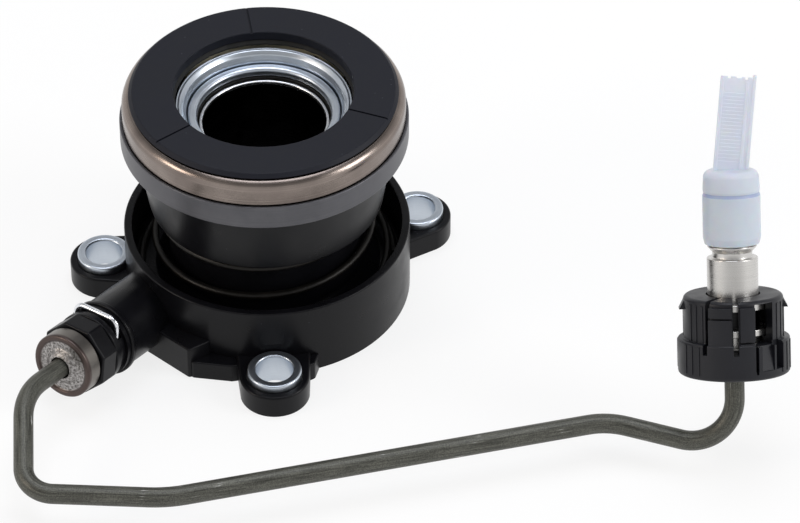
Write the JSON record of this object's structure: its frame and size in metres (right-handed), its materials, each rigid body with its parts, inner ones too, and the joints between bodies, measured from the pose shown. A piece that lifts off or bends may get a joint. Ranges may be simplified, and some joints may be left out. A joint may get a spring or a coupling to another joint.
{
  "type": "concentric slave cylinder",
  "caption": "Annular hydraulic clutch actuator: eared black cup housing, sprung piston and release bearing, bent steel pressure pipe ending in a capped quick connector.",
  "frame": {"origin": "centre of the bounding box on the mounting plane, which is the flat underside of the housing", "axes": "+Z along the input shaft axis, from the gearbox towards the clutch; +X along the pressure pipe, from the port towards the quick connector; +Y from the pipe towards the housing"},
  "size_m": [0.183, 0.1254, 0.0855],
  "materials": {
    "moulded_nylon": "satin moulded black glass-filled nylon",
    "contact_polyamide": "matt moulded dark blue-grey polyamide",
    "piston_polymer": "satin moulded black polymer",
    "cage_polyamide": "matt natural polyamide",
    "zinc_steel": "bright zinc plating",
    "drawn_steel": "drawn steel, black oxidised inside, with a bright edge",
    "ground_steel": "ground and polished bearing steel",
    "ball_steel": "polished bearing ball",
    "grey_sheet": "smooth grey phosphated sheet",
    "spring_steel": "dark oiled spring steel",
    "bright_wire": "bright drawn spring wire",
    "black_rubber": "moulded black rubber",
    "brazed_steel": "brazed steel with a rough face",
    "coated_tube": "dull olive-grey plated tube",
    "turned_steel": "fine turned steel",
    "translucent_plastic": "milky translucent polyethylene"
  },
  "bodies": {
    "cylinder": {"housing": "moulded_nylon", "bushing_front": "zinc_steel", "bushing_right": "zinc_steel", "bushing_left": "zinc_steel", "guide_sleeve": "drawn_steel", "sleeve_o_ring": "black_rubber", "base_seal": "black_rubber", "port_connector": "moulded_nylon", "connector_o_ring": "black_rubber", "pipe_ferrule": "brazed_steel", "hydraulic_pipe": "coated_tube", "pipe_fitting": "turned_steel", "fitting_o_ring": "black_rubber", "latch_collar": "moulded_nylon", "preload_spring": "spring_steel"},
    "slider": {"piston": "piston_polymer", "piston_seal": "black_rubber", "carrier": "moulded_nylon", "centring_washer": "spring_steel", "bearing_retainer": "zinc_steel", "inner_race": "zinc_steel"},
    "bearing": {"outer_race": "ground_steel", "contact_ring": "contact_polyamide", "bearing_cover": "grey_sheet", "bearing_seal": "black_rubber"},
    "ball_set": {"ball_cage": "cage_polyamide", "ball_01": "ball_steel", "ball_02": "ball_steel", "ball_03": "ball_steel", "ball_04": "ball_steel", "ball_05": "ball_steel", "ball_06": "ball_steel", "ball_07": "ball_steel", "ball_08": "ball_steel", "ball_09": "ball_steel", "ball_10": "ball_steel", "ball_11": "ball_steel", "ball_12": "ball_steel"},
    "clip": {"port_clip": "bright_wire"},
    "cap": {"protective_cap": "translucent_plastic"}
  },
  "joints": [
    {"name": "release_slide", "type": "slide", "parent": "cylinder", "child": "slider", "axis": [0, 0, 1], "range_m": [-0.014, 0], "stiffness_N_per_m": 2000, "springref_m": 0.006, "deforming": ["preload_spring"]},
    {"name": "bearing_spin", "type": "hinge", "parent": "slider", "child": "bearing", "pos_m": [-0.03312, 0.02741, 0.0512], "axis": [0, 0, 1], "continuous": true},
    {"name": "ball_orbit", "type": "hinge", "parent": "slider", "child": "ball_set", "pos_m": [-0.03312, 0.02741, 0.0512], "axis": [0, 0, 1], "continuous": true},
    {"name": "clip_pull", "type": "slide", "parent": "cylinder", "child": "clip", "axis": [0.0982, 0.1473, 0.9842], "range_m": [0, 0.004]},
    {"name": "cap_pull", "type": "slide", "parent": "cylinder", "child": "cap", "axis": [-0.0314, 0.515, 0.8566], "range_m": [0, 0.016]}
  ],
  "couplings": [
    {"joint": "ball_orbit", "follows": "bearing_spin", "ratio": 0.543}
  ]
}
